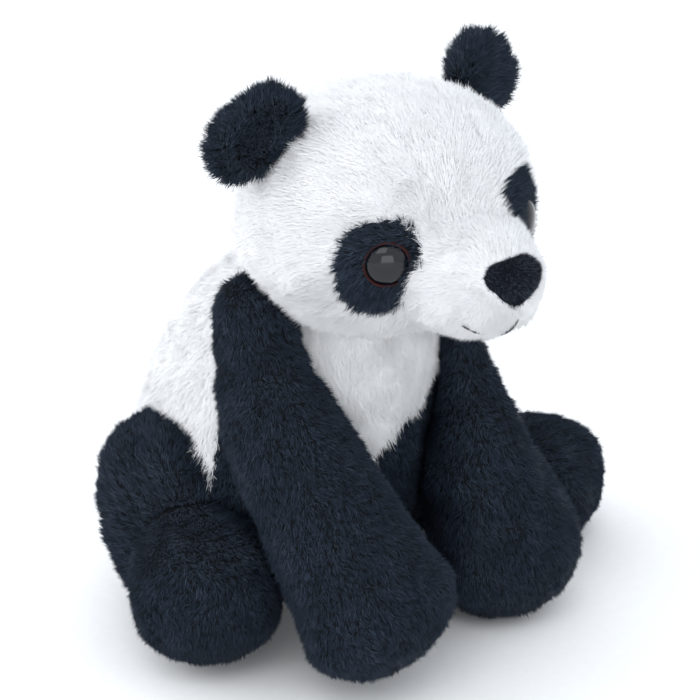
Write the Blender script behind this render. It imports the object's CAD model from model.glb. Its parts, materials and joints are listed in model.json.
# Sitting plush panda: sewn fabric panels with pile on them, safety eyes and a flocked nose.
# The forms are stated in millimetres from the part's own joints; meshes are written in metres.
import json
import math
import bpy
import numpy as np
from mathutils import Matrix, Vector
from mathutils.bvhtree import BVHTree


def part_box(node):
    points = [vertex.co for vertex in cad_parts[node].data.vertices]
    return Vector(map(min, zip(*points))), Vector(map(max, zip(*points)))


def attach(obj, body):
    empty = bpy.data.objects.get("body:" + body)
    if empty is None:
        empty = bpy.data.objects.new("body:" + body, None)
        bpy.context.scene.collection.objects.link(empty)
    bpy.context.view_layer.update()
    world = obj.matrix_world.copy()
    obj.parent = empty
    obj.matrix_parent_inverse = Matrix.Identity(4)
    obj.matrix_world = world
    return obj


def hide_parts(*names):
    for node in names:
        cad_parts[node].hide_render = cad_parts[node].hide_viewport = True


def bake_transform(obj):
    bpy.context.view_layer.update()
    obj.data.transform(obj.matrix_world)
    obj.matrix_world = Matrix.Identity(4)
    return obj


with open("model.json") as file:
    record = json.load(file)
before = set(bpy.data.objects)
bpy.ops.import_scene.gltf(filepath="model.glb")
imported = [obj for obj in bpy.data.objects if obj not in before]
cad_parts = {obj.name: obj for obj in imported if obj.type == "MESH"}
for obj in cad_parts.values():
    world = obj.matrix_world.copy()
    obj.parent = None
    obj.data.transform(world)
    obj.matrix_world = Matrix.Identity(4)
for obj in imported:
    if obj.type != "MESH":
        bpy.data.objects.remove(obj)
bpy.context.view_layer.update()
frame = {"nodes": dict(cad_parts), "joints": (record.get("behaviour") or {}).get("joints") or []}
MM = 0.001
FLOOR_CLEARANCE = 0.15  # fibre tips stay this far above the floor
SIDES = {"left": 1, "right": -1}
JOINTS = {joint["name"]: joint for joint in frame["joints"]}


def pivot(joint):
    """A joint's centre in millimetres."""
    return np.array(JOINTS[joint]["pos_m"], float) / MM


def middle(node):
    """The centre of a CAD node's box in millimetres."""
    low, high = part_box(node)
    return (np.array(low, float) + np.array(high, float)) / 2 / MM


FIBRE_CORNERS = (0, 2 * math.pi / 3, 4 * math.pi / 3)  # angles round a fibre's foot
FIBRE_SUNK = 0.3  # how far a fibre's foot stands inside the skin
SEAM_HOLD = 3.0  # points this near a seam are held while a skin is stuffed
FAR_FROM_SEAM = 30.0  # stands for a distance to a seam that isn't there
PRESSURE = 4.0
STUFFING_STEPS = 20
SKIN_VOXEL = 3.6
GROOVE_REACH = 1.5  # half width of the dip along a seam
FABRIC = 0.7  # the fabric's thickness
WHITE_REST = 1.2  # height of each colour's skin above the floor, where it rests on its pile
BLACK_REST = 0.9
LENS_RADIUS = 6.8
LENS_HEIGHT = 3.4
EYE_SINK = 0.9
RAY_LIFT = 30  # how far outside the head a ray towards its skin starts


# ---------------------------------------------------------------- vectors and noise


def unit(v):
    return v / np.maximum(np.linalg.norm(v, axis=-1, keepdims=True), 1e-9)


def turned(about_x=0, about_y=0, about_z=0):
    """Rotation matrix: about X, then Y, then Z, in degrees."""
    a, b, c = np.radians([about_x, about_y, about_z])
    x = np.array([[1, 0, 0], [0, np.cos(a), -np.sin(a)], [0, np.sin(a), np.cos(a)]])
    y = np.array([[np.cos(b), 0, np.sin(b)], [0, 1, 0], [-np.sin(b), 0, np.cos(b)]])
    z = np.array([[np.cos(c), -np.sin(c), 0], [np.sin(c), np.cos(c), 0], [0, 0, 1]])
    return z @ y @ x


def waves(points, wavelength, seed, channels=1):
    """Smooth noise between about -1 and 1: a few sine waves in random directions."""
    rng = np.random.default_rng(seed)
    total = np.zeros((len(points), channels))
    count = 9
    for _ in range(count):
        direction = unit(rng.normal(size=(3, channels)).T).T
        phase = rng.uniform(0, 2 * np.pi, channels)
        scale = rng.uniform(0.7, 1.4)
        total += np.sin(points @ direction * (2 * np.pi / (wavelength * scale)) + phase)
    return total / math.sqrt(count / 2) / 1.4


# ---------------------------------------------------------------- closed forms


def ball_form(centre, semi, turn=np.eye(3), power=2.0, low_height=None, low_power=None, rings=48):
    """A superellipsoid; below its middle its height and power may be others, as on an egg."""
    u = np.linspace(0, np.pi, rings + 1)[1:-1]
    v = np.linspace(0, 2 * np.pi, 2 * rings, endpoint=False)
    uu, vv = np.meshgrid(u, v, indexing="ij")
    d = np.stack([np.sin(uu) * np.cos(vv), np.sin(uu) * np.sin(vv), np.cos(uu)], -1).reshape(-1, 3)
    d = np.concatenate([d, [[0, 0, 1], [0, 0, -1]]])
    below = np.clip(-2 * d[:, 2:], 0, 1)
    powers = power + ((low_power or power) - power) * below
    d /= (np.abs(d) ** powers).sum(1, keepdims=True) ** (1 / powers)
    scale = np.tile(np.array(semi, float), (len(d), 1))
    if low_height:
        scale[d[:, 2] < 0, 2] = low_height
    points = (d * scale) @ turn.T + np.array(centre, float)
    return points, grid_faces(rings - 1, 2 * rings)


def grid_faces(rows, columns):
    """Faces of a tube of rows by columns, closed by fans to the last two points."""
    faces = []
    for r in range(rows - 1):
        for c in range(columns):
            n = (c + 1) % columns
            here, above = r * columns, (r + 1) * columns
            faces.append((here + c, above + c, above + n, here + n))
    first, last = rows * columns, rows * columns + 1
    for c in range(columns):
        n = (c + 1) % columns
        faces.append((first, c, n))
        faces.append((last, (rows - 1) * columns + n, (rows - 1) * columns + c))
    return faces


def smooth_path(stations, count):
    """Points on a curve that passes evenly through the stations."""
    s = np.array(stations, float)
    s = np.concatenate([[2 * s[0] - s[1]], s, [2 * s[-1] - s[-2]]])
    spans = len(s) - 3
    out = []
    for k in np.linspace(0, spans, count):
        i = min(int(k), spans - 1)
        t = k - i
        p0, p1, p2, p3 = s[i : i + 4]
        bend = 2 * p0 - 5 * p1 + 4 * p2 - p3
        twist = 3 * p1 - p0 - 3 * p2 + p3
        out.append(0.5 * (2 * p1 + (p2 - p0) * t + bend * t**2 + twist * t**3))
    return np.array(out)


def limb_form(stations, round_end=0.7, columns=56, count=40):
    """A stuffed tube through stations (x, y, z, half width, half depth), with rounded ends."""
    path = smooth_path(stations, count)
    centre, a, b = path[:, :3], path[:, 3], path[:, 4]
    along = unit(np.gradient(centre, axis=0))
    side = unit(np.array([[1.0, 0, 0]]) - along[:, :1] * along)
    other = np.cross(along, side)
    end_rings = 8
    for end, sign in ((0, -1), (-1, 1)):
        depth = round_end * min(a[end], b[end])
        steps = np.arange(1, end_rings) / end_rings * np.pi / 2
        reach = sign * along[end] * depth
        cap = [(centre[end] + reach * np.sin(t), math.cos(t), end) for t in steps]
        if sign < 0:
            rings = cap[::-1] + [(centre[k], 1.0, k) for k in range(count)]
        else:
            rings += cap
    phase = np.linspace(0, 2 * np.pi, columns, endpoint=False)
    points = []
    for at, shrink, k in rings:
        ring = a[k] * np.cos(phase)[:, None] * side[k] + b[k] * np.sin(phase)[:, None] * other[k]
        points.append(at + shrink * ring)
    tips = []
    for end, sign in ((0, -1), (-1, 1)):
        tips.append(centre[end] + sign * along[end] * round_end * min(a[end], b[end]))
    return np.concatenate(points + [tips]), grid_faces(len(rings), columns)


def new_object(name, points, faces):
    mesh = bpy.data.meshes.new(name)
    mesh.from_pydata((np.asarray(points) * MM).tolist(), [], faces)
    mesh.update()
    thing = bpy.data.objects.new(name, mesh)
    bpy.context.scene.collection.objects.link(thing)
    return thing


def settle(thing):
    """Applies an object's modifiers to its mesh."""
    bpy.context.view_layer.update()
    evaluated = thing.evaluated_get(bpy.context.evaluated_depsgraph_get())
    mesh = bpy.data.meshes.new_from_object(evaluated)
    thing.modifiers.clear()
    thing.data = mesh
    return thing


def arrays(thing):
    """Points in millimetres and triangles of an object's mesh."""
    mesh = thing.data
    mesh.calc_loop_triangles()
    points = np.empty(len(mesh.vertices) * 3)
    mesh.vertices.foreach_get("co", points)
    triangles = np.empty(len(mesh.loop_triangles) * 3, int)
    mesh.loop_triangles.foreach_get("vertices", triangles)
    return points.reshape(-1, 3) / MM, triangles.reshape(-1, 3)


def shade_smooth(thing):
    polygons = thing.data.polygons
    polygons.foreach_set("use_smooth", np.ones(len(polygons), bool))


def discard(thing):
    mesh = thing.data
    bpy.data.objects.remove(thing)
    bpy.data.meshes.remove(mesh)


def stuff(thing, seam_gap, puff):
    """Blows a closed skin up from inside while its seams hold, as stuffing does."""
    rest, _ = arrays(thing)
    held = thing.vertex_groups.new(name="seam")
    held.add(np.nonzero(seam_gap(rest) < SEAM_HOLD)[0].tolist(), 1.0, "REPLACE")
    cloth = thing.modifiers.new("stuffing", "CLOTH")
    cloth.settings.use_pressure = True
    cloth.settings.uniform_pressure_force = PRESSURE
    cloth.settings.effector_weights.gravity = 0
    cloth.settings.vertex_group_mass = "seam"
    for step in range(1, STUFFING_STEPS + 1):
        bpy.context.scene.frame_set(step)
    settle(thing)
    blown, _ = arrays(thing)
    shift = blown - rest
    distance = np.linalg.norm(shift, axis=1, keepdims=True)
    shift *= np.minimum(1, puff / np.maximum(distance, 1e-6))
    thing.data.vertices.foreach_set("co", ((rest + shift) * MM).ravel())
    thing.data.update()
    bpy.context.scene.frame_set(1)


class Skin:
    """A closed sewn skin in millimetres, drawn over one or more forms and grooved at its seams."""

    def __init__(self, name, forms, seam_gap, rest_height, groove=0.8, puff=1.2, seed=1, finer=2):
        points, faces, start = [], [], 0
        for form_points, form_faces in forms:
            points.append(form_points)
            faces += [tuple(i + start for i in face) for face in form_faces]
            start += len(form_points)
        thing = new_object(name, np.concatenate(points), faces)
        remesh = thing.modifiers.new("even", "REMESH")
        remesh.mode = "VOXEL"
        remesh.voxel_size = SKIN_VOXEL * MM
        calm = thing.modifiers.new("calm", "SMOOTH")
        calm.factor = 0.5
        calm.iterations = 3
        settle(thing)
        stuff(thing, seam_gap, puff)
        smoother = thing.modifiers.new("smoother", "SUBSURF")
        smoother.levels = finer
        settle(thing)
        points, self.triangles = arrays(thing)
        discard(thing)
        normals = normals_of(points, self.triangles)
        drawn_in = groove * np.exp(-((seam_gap(points) / GROOVE_REACH) ** 2))
        uneven = 0.45 * waves(points, 42, seed)[:, 0] + 0.2 * waves(points, 17, seed + 1)[:, 0]
        points = points + normals * (uneven - drawn_in)[:, None]
        points[:, 2] = np.maximum(points[:, 2], rest_height)
        self.points = points
        self.normals = normals_of(points, self.triangles)
        self.middles = points[self.triangles].mean(1)
        self.tree = BVHTree.FromPolygons(points.tolist(), self.triangles.tolist())

    def covers(self, places, depth=1.0):
        """Which places lie deeper than depth inside this skin."""
        inside = np.zeros(len(places), bool)
        for index, place in enumerate(places):
            spot, normal, _, _ = self.tree.find_nearest(Vector(place))
            inside[index] = (Vector(place) - spot).dot(normal) < -depth
        return inside


def normals_of(points, triangles):
    a, b, c = (points[triangles[:, k]] for k in range(3))
    face = np.cross(b - a, c - a)
    total = np.zeros_like(points)
    for k in range(3):
        np.add.at(total, triangles[:, k], face)
    return unit(total)


# ---------------------------------------------------------------- materials


def material(name):
    made = bpy.data.materials.new(name)
    made.use_nodes = True
    return made, made.node_tree.nodes, made.node_tree.links, made.node_tree.nodes["Principled BSDF"]


def ramp(nodes, stops):
    made = nodes.new("ShaderNodeValToRGB")
    elements = made.color_ramp.elements
    while len(elements) < len(stops):
        elements.new(0.5)
    for element, (position, colour) in zip(elements, stops):
        element.position = position
        element.color = (*colour, 1)
    return made


def noise(nodes, links, scale, detail=4):
    """Noise in the object's own space; scale is in waves per metre."""
    coordinates = nodes.new("ShaderNodeTexCoord")
    made = nodes.new("ShaderNodeTexNoise")
    made.inputs["Scale"].default_value = scale
    made.inputs["Detail"].default_value = detail
    links.new(coordinates.outputs["Object"], made.inputs["Vector"])
    return made


def bump(nodes, links, height, strength, distance, shader):
    made = nodes.new("ShaderNodeBump")
    made.inputs["Strength"].default_value = strength
    made.inputs["Distance"].default_value = distance
    links.new(height, made.inputs["Height"])
    links.new(made.outputs["Normal"], shader.inputs["Normal"])


def pile_material(name, root, tip, worn, shine, roughness):
    """Fibre colour from root to tip, with patches of tone and single paler fibres."""
    made, nodes, links, shader = material(name)
    along = nodes.new("ShaderNodeAttribute")
    along.attribute_name = "along"
    tone = nodes.new("ShaderNodeAttribute")
    tone.attribute_name = "tone"
    length_colour = ramp(nodes, ((0.0, root), (0.55, tip)))
    links.new(along.outputs["Fac"], length_colour.inputs["Fac"])
    patches = noise(nodes, links, 90)
    spread = nodes.new("ShaderNodeMath")
    spread.operation = "MULTIPLY"
    links.new(patches.outputs["Fac"], spread.inputs[0])
    links.new(tone.outputs["Fac"], spread.inputs[1])
    mixed = nodes.new("ShaderNodeMix")
    mixed.data_type = "RGBA"
    mixed.inputs["B"].default_value = (*worn, 1)
    links.new(spread.outputs["Value"], mixed.inputs["Factor"])
    links.new(length_colour.outputs["Color"], mixed.inputs["A"])
    links.new(mixed.outputs["Result"], shader.inputs["Base Color"])
    shader.inputs["Roughness"].default_value = roughness
    shader.inputs["Specular IOR Level"].default_value = shine
    return made


def backing_material(name, dark, pale, roughness):
    """Knitted backing and pile roots seen between the fibres."""
    made, nodes, links, shader = material(name)
    fine = noise(nodes, links, 900)
    colours = ramp(nodes, ((0.3, dark), (0.7, pale)))
    links.new(fine.outputs["Fac"], colours.inputs["Fac"])
    links.new(colours.outputs["Color"], shader.inputs["Base Color"])
    shader.inputs["Roughness"].default_value = roughness
    shader.inputs["Specular IOR Level"].default_value = 0.2
    bump(nodes, links, fine.outputs["Fac"], 0.6, 0.0006, shader)
    return made


WHITE_PILE = pile_material(
    "white_pile", (0.94, 0.95, 0.965), (0.975, 0.98, 0.99), (0.99, 0.985, 0.975), 0.4, 0.9
)
BLACK_PILE = pile_material(
    "black_pile", (0.001, 0.002, 0.004), (0.0105, 0.018, 0.033), (0.08, 0.115, 0.17), 0.2, 0.6
)
WHITE_BACKING = backing_material("white_backing", (0.84, 0.85, 0.87), (0.9, 0.9, 0.92), 0.95)
BLACK_BACKING = backing_material(
    "black_backing", (0.001, 0.0015, 0.002), (0.003, 0.005, 0.008), 0.9
)
COLOURS = {
    "white": (WHITE_PILE, WHITE_BACKING, "white_pile"),
    "black": (BLACK_PILE, BLACK_BACKING, "black_pile"),
}


# ---------------------------------------------------------------- pile


class Pile:
    """How the pile of a fabric lies.  Strands is fibres per square millimetre, length and width are
    a fibre's size, and lean is how far it bends over along the comb's flow.  Swirl unsettles that
    flow.  Clump is the size of a tuft, and gather how much its tips draw together.  Relief is how
    much each fibre is shaded on its own."""

    def __init__(self, strands, length, width, lean, swirl, clump, gather, relief):
        self.strands = strands
        self.length = length
        self.width = width
        self.lean = lean
        self.swirl = swirl
        self.clump = clump
        self.gather = gather
        self.relief = relief


LONG_WHITE = Pile(5.2, 3.8, 0.38, 1.9, 0.24, 1.8, 0.25, 0.1)
MUZZLE_WHITE = Pile(7.0, 3.0, 0.36, 1.7, 0.25, 1.6, 0.15, 0.12)
SEAT_WHITE = Pile(1.5, 2.5, 0.6, 2.5, 0.6, 2.2, 0.3, 0.2)
SHORT_BLACK = Pile(5.5, 2.5, 0.34, 1.5, 0.35, 2.0, 0.45, 1.2)
THIGH_BLACK = Pile(5.5, 2.8, 0.34, 1.3, 0.45, 2.2, 0.5, 1.2)
EAR_BLACK = Pile(7.0, 4.0, 0.4, 1.1, 0.5, 2.0, 0.45, 0.9)
PATCH_BLACK = Pile(7.0, 3.2, 0.36, 1.4, 0.4, 1.8, 0.45, 0.9)
FLOCK = Pile(12.0, 1.5, 0.18, 1.8, 1.6, 0.8, 0.0, 0.9)


def scatter(points, triangles, density, seed):
    """Random places on a surface, as the corners of each one's triangle and their weights."""
    a, b, c = (points[triangles[:, k]] for k in range(3))
    doubled = np.linalg.norm(np.cross(b - a, c - a), axis=1)
    total = doubled.sum() / 2
    rng = np.random.default_rng(seed)
    count = int(total * density)
    share = np.cumsum(doubled) / doubled.sum()
    pick = np.searchsorted(share, rng.random(count))
    pick = np.minimum(pick, len(triangles) - 1)
    r, s = rng.random((2, count))
    flip = r + s > 1
    r[flip], s[flip] = 1 - r[flip], 1 - s[flip]
    weights = np.stack([1 - r - s, r, s], 1)
    return triangles[pick], weights


def clump_centres(places, size):
    """The jittered middle of the cell that each place lies in."""
    cell = np.floor(places / size)
    jitter = np.sin(cell @ np.array([[12.9, 78.2, 37.7], [39.3, 11.1, 83.2], [73.1, 52.2, 9.1]]))
    return (cell + 0.5 + 0.45 * jitter) * size


def grow_pile(name, points, normals, triangles, kind, comb, paint, seed):
    """A mesh of tapered fibres standing on a panel, combed along its surface."""
    corner, weights = scatter(points, triangles, kind.strands, seed)
    root = (points[corner] * weights[..., None]).sum(1)
    normal = unit((normals[corner] * weights[..., None]).sum(1))
    rng = np.random.default_rng(seed + 1)
    flow = comb(root, normal)
    flow = flow + kind.swirl * waves(root, 14, seed + 2, 3)
    flow = flow + 0.5 * kind.swirl * waves(root, 5, seed + 3, 3)
    flow = unit(flow - (flow * normal).sum(1, keepdims=True) * normal)
    flow += 0.25 * rng.normal(size=root.shape)
    lean = kind.lean * (1 + 0.25 * waves(root, 9, seed + 4))
    rise = unit(normal + lean * flow)
    length = kind.length * (0.75 + 0.5 * rng.random((len(root), 1)))
    length = length * (1 + 0.15 * waves(root, 11, seed + 5))
    tip = root + rise * length
    tip += kind.gather * (clump_centres(root, kind.clump) + rise * length - tip)
    across = unit(np.cross(normal, rise))
    width = kind.width * (0.7 + 0.6 * rng.random((len(root), 1)))
    forward = np.cross(rise, across)
    sunk = root - FIBRE_SUNK * normal
    corner_ways = [math.cos(t) * across + math.sin(t) * forward for t in FIBRE_CORNERS]
    foot = [sunk + width / 2 * way for way in corner_ways]
    vertices = np.stack([*foot, tip], 1).reshape(-1, 3)
    vertices[:, 2] = np.maximum(vertices[:, 2], FLOOR_CLEARANCE)
    # three sides and a closed foot
    pattern = np.array([(0, 1, 3), (1, 2, 3), (2, 0, 3), (2, 1, 0)])
    count = len(root)
    faces = (np.arange(count)[:, None, None] * 4 + pattern[None]).reshape(-1, 3)
    along = np.tile(np.array([0, 0, 0, 1.0]), count)
    tone = np.repeat(rng.random(count) ** 3, 4)
    shading = np.repeat(unit(normal + kind.relief * rise), 4, axis=0)
    return fast_mesh(name, vertices, faces, shading, paint, {"along": along, "tone": tone})


def fast_mesh(name, vertices, faces, shading, paint, values):
    """A triangle mesh with shading normals and float attributes on its points."""
    mesh = bpy.data.meshes.new(name)
    mesh.vertices.add(len(vertices))
    mesh.vertices.foreach_set("co", (vertices * MM).astype(np.float32).ravel())
    mesh.loops.add(faces.size)
    mesh.loops.foreach_set("vertex_index", faces.astype(np.int32).ravel())
    mesh.polygons.add(len(faces))
    mesh.polygons.foreach_set("loop_start", np.arange(0, faces.size, 3, dtype=np.int32))
    mesh.polygons.foreach_set("loop_total", np.full(len(faces), 3, np.int32))
    mesh.polygons.foreach_set("use_smooth", np.ones(len(faces), bool))
    mesh.update(calc_edges=True)
    mesh.normals_split_custom_set_from_vertices(shading.astype(np.float32))
    for key, numbers in values.items():
        layer = mesh.attributes.new(key, "FLOAT", "POINT")
        layer.data.foreach_set("value", numbers.astype(np.float32))
    mesh.materials.append(paint)
    thing = bpy.data.objects.new(name, mesh)
    bpy.context.scene.collection.objects.link(thing)
    return thing


# ---------------------------------------------------------------- panels


def panel(node, rides, skin, chosen, colour, kind, comb, seed, also=(), under=(), keep=None):
    """One sewn panel with its pile.  rides is a body, or (body, body, start, end) where it bends.
    also names the CAD nodes inside it, or is None if the piece has no CAD node of its own.  under
    names the skins that hide part of its pile, and keep says where pile may stand."""
    pile_paint, backing_paint, slot = COLOURS[colour]
    part = skin.triangles[chosen]
    used, inverse = np.unique(part, return_inverse=True)
    cloth = new_object(node + "_fabric", skin.points[used], inverse.reshape(-1, 3).tolist())
    cloth.data.materials.append(backing_paint)
    thick = cloth.modifiers.new("thickness", "SOLIDIFY")
    thick.thickness = FABRIC * MM
    thick.offset = -1
    settle(cloth)
    shade_smooth(cloth)
    open_part = part[keep(skin.points[part].mean(1))] if keep else part
    for other in under:
        open_part = open_part[~other.covers(skin.points[open_part].mean(1))]
    hair = grow_pile(
        node + "_pile", skin.points, skin.normals, open_part, kind, comb, pile_paint, seed
    )
    for piece in (cloth, hair):
        if isinstance(rides, str):
            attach(piece, rides)
        else:
            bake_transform(piece)
    if also is not None:
        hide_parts(node, *also)


def no_seam(points):
    return np.full(len(points), FAR_FROM_SEAM)


def closest(*gaps):
    """The distance to the nearest of several seams."""
    return np.min(np.abs(np.stack(gaps)), axis=0)


def along_limb(stations):
    """The downward direction of a limb's last stretch, and the middle of its end."""
    stations = np.array(stations, float)
    return unit(stations[-1, :3] - stations[-4, :3]), stations[-1, :3]


def offset(stations, origin, inset):
    """Stations moved to their pivot, with their widths less the pile's height."""
    moved = np.array(stations, float)
    moved[:, :3] += origin
    moved[:, 3:] -= inset
    return moved.tolist()


# ---------------------------------------------------------------- head

NECK = pivot("neck_turn")
HEAD = NECK + (0, -7, 40)
MUZZLE = NECK + (0, -46, 33)
NOSE_SIZE = (12.6, 7.5, 9.8)
NOSE_REACH = 16  # pile further than this from the nose is clear of it
NOSE = np.array((0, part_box("nose")[0].y / MM + NOSE_SIZE[1] + 0.8, middle("nose")[2] - 2.1))
WHITE_INSET = 2.0  # how far the skin under each colour's pile stands inside the outline
BLACK_INSET = 1.2
HEAD_SEMI = np.array((48.8, 44.2, 44)) - WHITE_INSET
HEAD_BELOW = 37 - WHITE_INSET  # the head's half height below its middle
HEAD_TILT = turned(about_x=-4)
MUZZLE_TILT = turned(about_x=6)
MUZZLE_SEMI = np.array((24.3, 27.6, 20)) - WHITE_INSET
GUSSET_HALF = 13
CHIN_SEAM = NECK[2] + 25
EYE_FACING = (0.572, -0.82)
PATCH_REACH = 18  # a patch ends this far behind its eye
PATCH_POWER = 2.3
PATCH_SEMI = {"right": (12.4, 15.8), "left": (14, 17.5)}
PATCH_SHIFT = {"right": 2.3, "left": -3}
PATCH_DROP = {"right": 1.5, "left": -0.5}
PATCH_TILT = math.radians(14)


def muzzle_gap(points):
    """Rough distance outside the muzzle's seam."""
    own = (points - MUZZLE) @ MUZZLE_TILT
    return (np.linalg.norm(own / (MUZZLE_SEMI + 1.5), axis=1) - 1) * MUZZLE_SEMI.mean()


def eye_frame(side):
    """The eye's middle, its facing direction, and the direction away from the nose."""
    s = SIDES[side]
    facing = unit(np.array((s * EYE_FACING[0], EYE_FACING[1], 0)))
    return middle(f"eye_{side}_lens"), facing, np.array((-s * facing[1], s * facing[0], 0))


def patch_gap(points, side):
    """Rough distance outside the outline of an eye patch: a drooping oval with soft lobes."""
    eye, facing, outward = eye_frame(side)
    from_eye = points - eye
    a, b = from_eye @ outward - PATCH_SHIFT[side], from_eye[:, 2] + PATCH_DROP[side]
    across = a * math.cos(PATCH_TILT) + b * math.sin(PATCH_TILT)
    up = b * math.cos(PATCH_TILT) - a * math.sin(PATCH_TILT)
    angle = np.arctan2(up, across)
    size = 1 + 0.05 * np.cos(3 * angle - 0.6) + 0.02 * np.cos(7 * angle)
    half, tall = PATCH_SEMI[side]
    ratio = (np.abs(across) / half) ** PATCH_POWER + (np.abs(up) / tall) ** PATCH_POWER
    gap = (ratio ** (1 / PATCH_POWER) / size - 1) * (half + tall) / 2
    return np.where(from_eye @ facing > -PATCH_REACH, gap, FAR_FROM_SEAM)


def head_seams(points):
    over_chin = points[:, 2] - CHIN_SEAM
    gusset = np.where(over_chin > 0, np.abs(points[:, 0]) - GUSSET_HALF, FAR_FROM_SEAM)
    patches = [patch_gap(points, side) for side in SIDES]
    outside = muzzle_gap(points)
    gusset = np.where(outside > 0, gusset, FAR_FROM_SEAM)
    chin = np.where(outside > 0, over_chin, FAR_FROM_SEAM)
    return closest(outside, gusset, chin, *patches)


def away_from_nose(root, normal):
    """Back from the nose, and downward on the back of the head."""
    flow = unit(root - NOSE)
    behind = np.clip((root[:, 1] - HEAD[1]) / 30, 0, 1)
    flow[:, 2] -= 0.25 + 0.9 * behind
    return flow


def patch_comb(side):
    eye, _, _ = eye_frame(side)

    def flow(root, normal):
        outwards = 0.5 * unit(root - eye) + unit(root - NOSE)
        outwards[:, 2] -= 0.5
        return outwards

    return flow


def nose_form():
    """A rounded triangle with its point down."""
    points, faces = ball_form((0, 0, 0), (1, 1, 1), power=2.4, rings=40)
    points[:, 0] *= 0.86 + 0.34 * points[:, 2] - 0.12 * points[:, 2] ** 2
    return (points * NOSE_SIZE) @ turned(about_x=8).T + NOSE, faces


nose_skin = Skin("nose_skin", [nose_form()], no_seam, 0, puff=0.3)


def clear_of_face(places):
    """Where pile doesn't run into the nose or an eye."""
    clear = np.ones(len(places), bool)
    near = np.nonzero(np.linalg.norm(places - NOSE, axis=1) < NOSE_REACH)[0]
    clear[near] = ~nose_skin.covers(places[near], 0.2)
    for side in SIDES:
        eye, _, _ = eye_frame(side)
        clear &= np.linalg.norm(places - eye, axis=1) > LENS_RADIUS + 0.2
    return clear


head_form = ball_form(HEAD, HEAD_SEMI, HEAD_TILT, 2.45, HEAD_BELOW, 2.1)
muzzle_form = ball_form(MUZZLE, MUZZLE_SEMI, MUZZLE_TILT, 2.2)
head_skin = Skin("head_skin", [head_form, muzzle_form], head_seams, 0, groove=0.5, seed=10)


def head_panels():
    spots = head_skin.middles
    on_muzzle = muzzle_gap(spots) < 0
    in_patch = {side: (patch_gap(spots, side) < 0) & ~on_muzzle for side in SIDES}
    taken = on_muzzle | in_patch["left"] | in_patch["right"]
    above = spots[:, 2] > CHIN_SEAM
    strip = np.abs(spots[:, 0]) < GUSSET_HALF
    regions = {
        "muzzle_cover": on_muzzle,
        "head_gusset": ~taken & above & strip,
        "head_side_left": ~taken & above & ~strip & (spots[:, 0] > 0),
        "head_side_right": ~taken & above & ~strip & (spots[:, 0] < 0),
        "chin_panel": ~taken & ~above,
    }
    for seed, (node, chosen) in enumerate(regions.items(), 20):
        also = ("head_stuffing",) if node == "head_gusset" else ()
        kind = MUZZLE_WHITE if node == "muzzle_cover" else LONG_WHITE
        panel(
            node, "head", head_skin, chosen, "white", kind, away_from_nose, seed,
            also, (), clear_of_face,
        )
    for seed, side in enumerate(SIDES, 30):
        node = f"eye_{side}_patch"
        panel(
            node, "head", head_skin, in_patch[side], "black", PATCH_BLACK, patch_comb(side), seed,
            (), (), clear_of_face,
        )


EAR_ROOT = 16  # from an ear's middle down to where its pile fans out from


def ear_form(side):
    """A flat pillow, thinner in the middle of its front than at its rim."""
    s = SIDES[side]
    points, faces = ball_form((0, 0, 0), (1, 1, 1), power=2.2, low_height=0.74, rings=32)
    spread = points[:, 0] ** 2 + points[:, 2] ** 2
    points[:, 1] *= np.where(points[:, 1] < 0, 0.15 + 0.85 * spread, 1.0)
    turn = turned(about_y=s * 35, about_z=s * 15)
    centre = pivot(f"ear_{side}_flex") + (s * 9 + 1.4, 2.2, 7.6)
    return (points * (18.3, 6.3, 15.3)) @ turn.T + centre, faces, centre, turn


def ear(side, seed):
    points, faces, centre, turn = ear_form(side)

    def rim(places):
        return (places - centre) @ turn[:, 1]

    def comb(root, normal):
        return unit(root - (centre - turn[:, 2] * EAR_ROOT))

    skin = Skin(f"ear_{side}_skin", [(points, faces)], rim, 0, groove=0.5, puff=0.6, seed=seed)
    front = rim(skin.middles) < 0
    for number, (name, chosen) in enumerate((("front", front), ("back", ~front))):
        node = f"ear_{side}_{name}"
        panel(
            node, f"ear_{side}", skin, chosen, "black", EAR_BLACK, comb, seed + number,
            (), (head_skin,),
        )


# ---------------------------------------------------------------- torso and tail

# stations from neck to seat: x, y, z, half width, half depth
TORSO = [
    (2, -36, 126, 28, 26),
    (2.7, -27, 112, 38.7, 37),
    (1.4, -10, 82, 47.4, 50),
    (0, 0, 48, 54, 54),
    (0, 0, 26, 48, 48),
]
SEAT_SEAM = 9  # height
SIDE_SEAM = -10  # y
BIB_TIP = (-9.5, 61)  # x and height of the bib's point
BIB_RISE = 34  # its edge climbs by this much to each side, over about BIB_REACH
BIB_REACH = 28
LAP_LEFT = 36  # beyond these x the black lap's edge falls again, by LAP_FALL per millimetre
LAP_RIGHT = -46
LAP_FALL = 4


def bib_gap(points):
    """Rough distance below the bib's pointed lower edge; only the front has one."""
    aside = np.abs(points[:, 0] - BIB_TIP[0])
    edge = BIB_TIP[1] + BIB_RISE * (1 - np.exp(-aside / BIB_REACH))
    past_left, past_right = points[:, 0] - LAP_LEFT, LAP_RIGHT - points[:, 0]
    edge -= LAP_FALL * np.maximum(np.maximum(past_left, past_right), 0)
    below = (edge - points[:, 2]) * 0.75
    return np.where(points[:, 1] < 2 * SIDE_SEAM, below, -FAR_FROM_SEAM)


def torso_seams(points):
    lower = points[:, 2] - SEAT_SEAM
    side = np.where(lower > 0, points[:, 1] - SIDE_SEAM, FAR_FROM_SEAM)
    back = np.where((lower > 0) & (points[:, 1] > SIDE_SEAM), points[:, 0], FAR_FROM_SEAM)
    return closest(lower, side, back, bib_gap(points))


def down_and_out(root, normal):
    flow = normal * (1, 1, 0) * 0.5
    flow[:, 2] -= 1
    return flow


# ---------------------------------------------------------------- limbs

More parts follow.
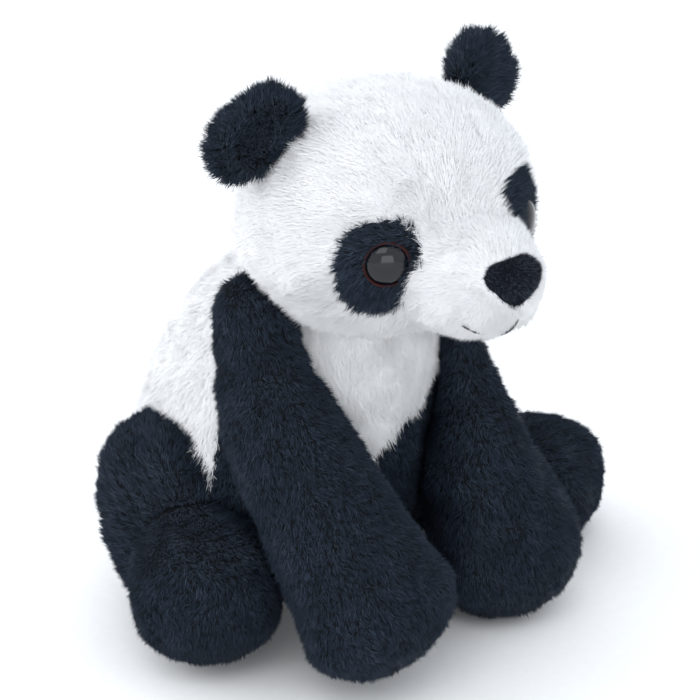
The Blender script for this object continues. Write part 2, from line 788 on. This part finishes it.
# stations from the shoulder, as on the torso
ARMS = {
    "right": [
        (-1, 2, 25, 14.5, 13),
        (-1.6, -2, 8, 12.8, 16.5),
        (-1.4, -10, -12, 17.8, 22.8),
        (4.5, -28, -42, 21.8, 24),
        (9.8, -40.5, -64, 26.4, 24),
        (12.4, -45.5, -74, 29.2, 24),
    ],
    "left": [
        (-2, 4, 20, 9, 11),
        (3, 0, 4, 7.5, 10),
        (4.8, -4, -14, 10, 12.5),
        (5, -9, -30, 15, 18),
        (6.5, -11, -50, 22.5, 23),
        (12.4, -14, -70, 26.5, 25.5),
        (13.4, -15, -76, 28, 25.5),
    ],
}
ARM_END = {"right": 0.8, "left": 1.0}  # how round the paw's end is
ARM_BEND = (16, 20)  # the arm's bend reaches from this far inside the shoulder to this far outside
PAW_SEAM = 10.5
# each leg's shift from the hip, and its half sizes
THIGHS = {"right": ((5.2, 1.5, 0.8), (26.5, 25.4, 37)), "left": ((1, 0, -2), (25, 24, 27.5))}
THIGH_TURN = {"right": turned(about_x=-4.5, about_y=-5.4), "left": np.eye(3)}
FEET = {"right": ((-9.2, -30, -10), (26.3, 26.1, 25.2)), "left": ((33, -31, -9), (26.5, 24, 22.5))}
LEG_POWER = {"right": (2.8, 2.3), "left": (2.0, 2.5)}
FOOT_TURN = 25
FOOT_SEAM = 17


def limb_comb(direction):
    def flow(root, normal):
        return np.broadcast_to(direction, root.shape).copy()

    return flow


def arm(side, seed, under):
    s = SIDES[side]
    shoulder = pivot(f"arm_{side}_swing")
    stations = offset(ARMS[side], shoulder, BLACK_INSET)
    down, paw = along_limb(stations)
    axis = unit(paw - shoulder)
    across = unit(np.array((1.0, 0, 0)) - axis[0] * axis)

    def sole_gap(points):
        return (points - paw) @ down - PAW_SEAM

    def inner_gap(points):
        return (points - shoulder) @ across * s

    def seams(points):
        sole = sole_gap(points)
        return closest(sole, np.where(sole < 0, inner_gap(points), FAR_FROM_SEAM))

    form = limb_form(stations, ARM_END[side])
    skin = Skin(f"arm_{side}_skin", [form], seams, BLACK_REST, seed=seed)
    sole = sole_gap(skin.middles) > 0
    inner = inner_gap(skin.middles) < 0
    regions = {"outer": ~sole & ~inner, "inner": ~sole & inner, "sole": sole}
    inside, outside = ARM_BEND
    rides = ("torso", f"arm_{side}", shoulder - axis * inside, shoulder + axis * outside)
    for number, (name, chosen) in enumerate(regions.items()):
        node = f"arm_{side}_{name}"
        also = (f"arm_{side}_stuffing",) if name == "outer" else ()
        comb = limb_comb(axis + (0, -0.2, 0))
        panel(node, rides, skin, chosen, "black", SHORT_BLACK, comb, seed + number, also, under)
    return skin


def leg(side, seed):
    s = SIDES[side]
    hip = pivot(f"leg_{side}_swing")
    foot_shift, foot_size = FEET[side]
    foot = hip + foot_shift
    thigh_shift, thigh_size = THIGHS[side]
    thigh = hip + thigh_shift
    thigh_turn = THIGH_TURN[side]
    thigh_semi = np.array(thigh_size) - BLACK_INSET
    foot_semi = np.array(foot_size) - BLACK_INSET
    turn = turned(about_z=s * FOOT_TURN)
    forward = turn @ (0, -1, 0)

    def foot_gap(points):
        own = (points - thigh) @ thigh_turn
        in_thigh = (np.linalg.norm(own / thigh_semi, axis=1) - 1) * thigh_semi.mean()
        own = (points - foot) @ turn
        in_foot = (np.linalg.norm(own / foot_semi, axis=1) - 1) * foot_semi.mean()
        return in_foot - in_thigh

    def sole_gap(points):
        return (points - foot) @ forward - FOOT_SEAM

    def seams(points):
        return np.abs(foot_gap(points))

    thigh_power, foot_power = LEG_POWER[side]
    forms = [
        ball_form(thigh, thigh_semi, thigh_turn, thigh_power),
        ball_form(foot, foot_semi, turn, foot_power),
    ]
    skin = Skin(f"leg_{side}_skin", forms, seams, BLACK_REST, groove=1.0, seed=seed)
    on_foot = foot_gap(skin.middles) < 0
    sole = on_foot & (sole_gap(skin.middles) > 0)
    regions = {
        "thigh": (~on_foot, THIGH_BLACK, limb_comb(np.array((0, 0.2, 1.0)))),
        "foot": (on_foot & ~sole, SHORT_BLACK, limb_comb(forward + (0, 0, -0.5))),
        "sole": (sole, SHORT_BLACK, limb_comb(np.array((0, 0, -1.0)))),
    }
    for number, (name, (chosen, kind, comb)) in enumerate(regions.items()):
        node = f"leg_{side}_{name}"
        also = (f"leg_{side}_stuffing",) if name == "thigh" else ()
        panel(node, f"leg_{side}", skin, chosen, "black", kind, comb, seed + number, also)
    return skin


def torso_panels(skin, under):
    spots = skin.middles
    seat = spots[:, 2] < SEAT_SEAM
    front = ~seat & (spots[:, 1] < SIDE_SEAM)
    back = ~seat & ~front
    lap = front & (bib_gap(spots) > 0)
    regions = {
        "chest_panel": front & ~lap,
        "back_panel_left": back & (spots[:, 0] > 0),
        "back_panel_right": back & (spots[:, 0] < 0),
        "seat_panel": seat,
    }
    for seed, (node, chosen) in enumerate(regions.items(), 60):
        also = ("torso_stuffing",) if node == "chest_panel" else ()
        kind = SEAT_WHITE if node == "seat_panel" else LONG_WHITE
        panel(node, "torso", skin, chosen, "white", kind, down_and_out, seed, also, under)
    panel("lap_panel", "torso", skin, lap, "black", SHORT_BLACK, down_and_out, 65, None, under)


NECK_DRAWN_IN = (0.8, 0.8, 0.95)


def neck():
    """The wad of stuffing between head and body, drawn in where the fabric closes over it."""
    low, high = (np.array(corner, float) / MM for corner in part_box("neck_plug"))
    points, faces = ball_form((low + high) / 2, (high - low) / 2 * NECK_DRAWN_IN)
    wad = new_object("neck_wad", points, faces)
    wad.data.materials.append(STUFFING)
    shade_smooth(wad)
    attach(wad, "neck")
    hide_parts("neck_plug")


def tail():
    centre = pivot("tail_flex") + (0, 8, 0)
    skin = Skin("tail_skin", [ball_form(centre, (9.2, 8.5, 10.2))], no_seam, 0, puff=0.5)
    everywhere = np.ones(len(skin.triangles), bool)
    also = ("tail_stuffing",)
    panel("tail_cover", "tail", skin, everywhere, "white", LONG_WHITE, down_and_out, 70, also)


# ---------------------------------------------------------------- eyes, nose, mouth and threads


def spokes(facing, columns):
    """Unit directions all round an axis."""
    side = unit(np.cross(facing, (0, 0, 1.0)))
    up = np.cross(side, facing)
    phase = np.linspace(0, 2 * np.pi, columns, endpoint=False)
    return np.cos(phase)[:, None] * side + np.sin(phase)[:, None] * up


def revolved(name, profile, centre, facing, paint, columns=64):
    """A closed turned form.  profile is (radius, height) from its outer foot to its middle."""
    around = spokes(facing, columns)
    points = [centre + radius * around + height * facing for radius, height in profile]
    tips = np.array([centre + facing * profile[0][1], centre + facing * profile[-1][1]])
    thing = new_object(name, np.concatenate(points + [tips]), grid_faces(len(profile), columns))
    thing.data.materials.append(paint)
    shade_smooth(thing)
    return thing


def eye(side):
    """A domed lens in a thin rim."""
    centre, facing, _ = eye_frame(side)
    base = on_skin(head_skin, centre + facing * RAY_LIFT, -facing, -EYE_SINK)
    steps = np.linspace(0.02, np.pi / 2 - 0.04, 22)
    dome = [(LENS_RADIUS * np.cos(t) ** 0.9, LENS_HEIGHT * np.sin(t)) for t in steps]
    dome = [(LENS_RADIUS - 0.4, -1.0), (LENS_RADIUS, -0.6)] + dome
    lens = revolved(f"eye_{side}_dome", dome, base, facing, LENS)
    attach(lens, "head")
    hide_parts(f"eye_{side}_lens")
    turns = np.linspace(0, 2 * np.pi, 25)[:-1]
    loop = [(LENS_RADIUS + 0.35 - 0.55 * np.cos(t), 0.35 + 0.75 * np.sin(t)) for t in turns]
    rim = ring_form(f"eye_{side}_rim", loop, base, facing, RIM)
    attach(rim, "head")
    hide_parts(f"eye_{side}_back")


def ring_form(name, loop, centre, facing, paint, columns=72):
    """A closed ring whose section is the loop of (radius, height)."""
    around = spokes(facing, columns)
    points = np.concatenate([centre + r * around + h * facing for r, h in loop])
    rows = len(loop)
    faces = []
    for r in range(rows):
        for c in range(columns):
            n, m = (c + 1) % columns, (r + 1) % rows
            faces.append((r * columns + c, m * columns + c, m * columns + n, r * columns + n))
    thing = new_object(name, points, faces)
    thing.data.materials.append(paint)
    shade_smooth(thing)
    return thing


def nose():
    """A flocked button."""
    button = new_object("nose_button", nose_skin.points, nose_skin.triangles.tolist())
    button.data.materials.append(NOSE_BASE)
    shade_smooth(button)
    flock = grow_pile(
        "nose_flock", nose_skin.points, nose_skin.normals, nose_skin.triangles, FLOCK, down_and_out,
        NOSE_FLOCK, 80,
    )
    for piece in (button, flock):
        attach(piece, "head")
    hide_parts("nose")


def thread(name, path, radius, paint, body):
    """A sewing thread along a path."""
    stations = [(*place, radius, radius) for place in path]
    points, faces = limb_form(stations, 1.0, columns=8, count=6 * len(path))
    thing = new_object(name, points, faces)
    thing.data.materials.append(paint)
    shade_smooth(thing)
    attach(thing, body)
    return thing


def on_skin(skin, place, direction, proud):
    """The point where a ray meets a skin, lifted proud of it."""
    spot, normal, _, _ = skin.tree.ray_cast(Vector(place), Vector(direction))
    return np.array(spot + normal * proud)


def mouth():
    """A stitch down from the nose, and one curved to each side with its outer end proud."""
    paths = {
        "middle": [(0, z, 1.3) for z in np.linspace(-10, -17, 5)],
        "left": [(14.5 * t, 6.5 * t**2 - 17, 0.3 + 1.1 * t**2) for t in np.linspace(0, 1, 7)],
    }
    paths["right"] = [(-x, z, proud) for x, z, proud in paths["left"]]
    front = NOSE[1] - RAY_LIFT
    for name, path in paths.items():
        path = [
            on_skin(head_skin, (x, front, NOSE[2] + z), (0, 1, 0), proud) for x, z, proud in path
        ]
        piece = thread(f"mouth_stitch_{name}", path, 0.35, THREAD, "head")
        if name == "middle":
            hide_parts("mouth_stitches")


BEHIND_BACK = 120  # the y at which rays towards the back start
STITCH_PITCH = 3.5
STITCH_HALF = 2.2
STITCH_CLIMB = 0.8
STITCH_PROUD = 0.5
STITCH_STEPS = (-STITCH_HALF, -0.8, 0.8, STITCH_HALF)


def closing_seam(skin):
    """Hand-sewn ladder stitches up the middle of the back."""
    low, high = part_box("back_closing_stitches")
    heights = np.arange(low[2] / MM, high[2] / MM, STITCH_PITCH)
    for number, z in enumerate(heights):
        spots = [(x, BEHIND_BACK, z + STITCH_CLIMB * x / STITCH_HALF) for x in STITCH_STEPS]
        path = [on_skin(skin, spot, (0, -1, 0), STITCH_PROUD) for spot in spots]
        name = f"closing_stitch_{number}"
        piece = thread(name, path, 0.3, WHITE_THREAD, "torso")
        if number == 0:
            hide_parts("back_closing_stitches")


# ---------------------------------------------------------------- smaller materials


def gloss(name, dark, pale, roughness, shine):
    """Polished plastic with faint depth and fine scratches."""
    made, nodes, links, shader = material(name)
    cloudy = noise(nodes, links, 160)
    colours = ramp(nodes, ((0.35, dark), (0.75, pale)))
    links.new(cloudy.outputs["Fac"], colours.inputs["Fac"])
    links.new(colours.outputs["Color"], shader.inputs["Base Color"])
    scratches = noise(nodes, links, 700)
    rough = nodes.new("ShaderNodeMapRange")
    rough.inputs["To Min"].default_value = roughness
    rough.inputs["To Max"].default_value = roughness * 2
    links.new(scratches.outputs["Fac"], rough.inputs["Value"])
    links.new(rough.outputs["Result"], shader.inputs["Roughness"])
    shader.inputs["Specular IOR Level"].default_value = shine
    return made


LENS = gloss("eye_lens", (0.001, 0.0015, 0.003), (0.002, 0.003, 0.006), 0.04, 0.45)
RIM = gloss("eye_rim", (0.016, 0.002, 0.0015), (0.04, 0.005, 0.004), 0.35, 0.2)
WASHER = gloss("washer", (0.5, 0.5, 0.48), (0.66, 0.66, 0.63), 0.35, 0.5)
NOSE_BASE = backing_material("nose_base", (0.001, 0.002, 0.004), (0.004, 0.006, 0.012), 0.95)
NOSE_FLOCK = pile_material(
    "nose_flock", (0.001, 0.0015, 0.003), (0.003, 0.005, 0.011), (0.16, 0.19, 0.25), 0.15, 0.9
)
THREAD = backing_material("thread", (0.03, 0.03, 0.035), (0.09, 0.09, 0.1), 0.7)
WHITE_THREAD = backing_material("closing_thread", (0.55, 0.55, 0.55), (0.78, 0.78, 0.77), 0.7)
STUFFING = backing_material("stuffing", (0.62, 0.62, 0.6), (0.82, 0.82, 0.8), 1.0)
PELLETS = backing_material("pellets", (0.4, 0.42, 0.45), (0.72, 0.74, 0.76), 0.6)

INNER = {
    "pellet_pouch": PELLETS,
    "nose_washer": WASHER,
    "eye_left_washer": WASHER,
    "eye_right_washer": WASHER,
}


def paint_inner_parts():
    for node, paint in INNER.items():
        slots = frame["nodes"][node].data.materials
        slots.clear()
        slots.append(paint)


# ---------------------------------------------------------------- building

head_panels()
for seed, side in enumerate(SIDES, 4):
    ear(side, seed * 10)
    eye(side)
nose()
mouth()

torso_form = limb_form(offset(TORSO, np.zeros(3), WHITE_INSET), 0.5)
torso_skin = Skin("torso_skin", [torso_form], torso_seams, WHITE_REST, groove=0.6, seed=90)
trunk = (torso_skin, head_skin)
arm_skins = [arm(side, 100 + 10 * number, trunk) for number, side in enumerate(SIDES)]
leg_skins = [leg(side, 130 + 10 * number) for number, side in enumerate(SIDES)]
torso_panels(torso_skin, (head_skin, *arm_skins, *leg_skins))
closing_seam(torso_skin)
neck()
tail()
paint_inner_parts()


# ---------------------------------------------------------------- light, floor and camera


def studio():
    world = bpy.data.worlds.new("studio")
    bpy.context.scene.world = world
    world.use_nodes = True
    background = world.node_tree.nodes["Background"]
    background.inputs["Color"].default_value = (0.91, 0.95, 1.0, 1)
    background.inputs["Strength"].default_value = 1.22
    lamps = {
        "key": ((-0.75, -0.55, 1.15), 0.9, 3.8),
        "side": ((-1.0, 0.8, 0.7), 0.9, 4.5),
        "low": ((-0.55, -1.0, 0.14), 0.6, 2.0),
    }
    for name, (spot, size, power) in lamps.items():
        lamp = bpy.data.lights.new(name, "AREA")
        lamp.size = size
        lamp.energy = power
        thing = bpy.data.objects.new(name, lamp)
        thing.location = spot
        aim = Vector((0, -0.03, 0.1)) - Vector(spot)
        thing.rotation_euler = aim.to_track_quat("-Z", "Y").to_euler()
        bpy.context.scene.collection.objects.link(thing)


FLOOR_HALF = 4000
FLOOR_LEVEL = -0.3
CAMERA_LENS = 138.857
CAMERA_AZIMUTH = -40
CAMERA_ELEVATION = 24
CAMERA_DISTANCE = 0.9
CAMERA_AIM = (0, -0.036, 0.0993)


def floor():
    quarters = ((-1, -1), (1, -1), (1, 1), (-1, 1))
    corners = [(x * FLOOR_HALF, y * FLOOR_HALF, FLOOR_LEVEL) for x, y in quarters]
    ground = new_object("floor", corners, [(0, 1, 2, 3)])
    made, nodes, links, shader = material("paper")
    grain = noise(nodes, links, 300)
    colours = ramp(nodes, ((0.3, (0.93, 0.93, 0.93)), (0.7, (0.95, 0.95, 0.95))))
    links.new(grain.outputs["Fac"], colours.inputs["Fac"])
    links.new(colours.outputs["Color"], shader.inputs["Base Color"])
    shader.inputs["Roughness"].default_value = 1.0
    shader.inputs["Specular IOR Level"].default_value = 0.0
    ground.data.materials.append(made)


def camera():
    lens = bpy.data.cameras.new("camera")
    lens.lens = CAMERA_LENS
    lens.sensor_width = 36
    thing = bpy.data.objects.new("camera", lens)
    azimuth, elevation = math.radians(CAMERA_AZIMUTH), math.radians(CAMERA_ELEVATION)
    flat = math.cos(elevation)
    back = Vector((math.sin(azimuth) * flat, -math.cos(azimuth) * flat, math.sin(elevation)))
    thing.location = Vector(CAMERA_AIM) + back * CAMERA_DISTANCE
    thing.rotation_euler = (-back).to_track_quat("-Z", "Y").to_euler()
    bpy.context.scene.collection.objects.link(thing)
    bpy.context.scene.camera = thing


studio()
floor()
camera()
bpy.context.scene.view_settings.view_transform = "Standard"
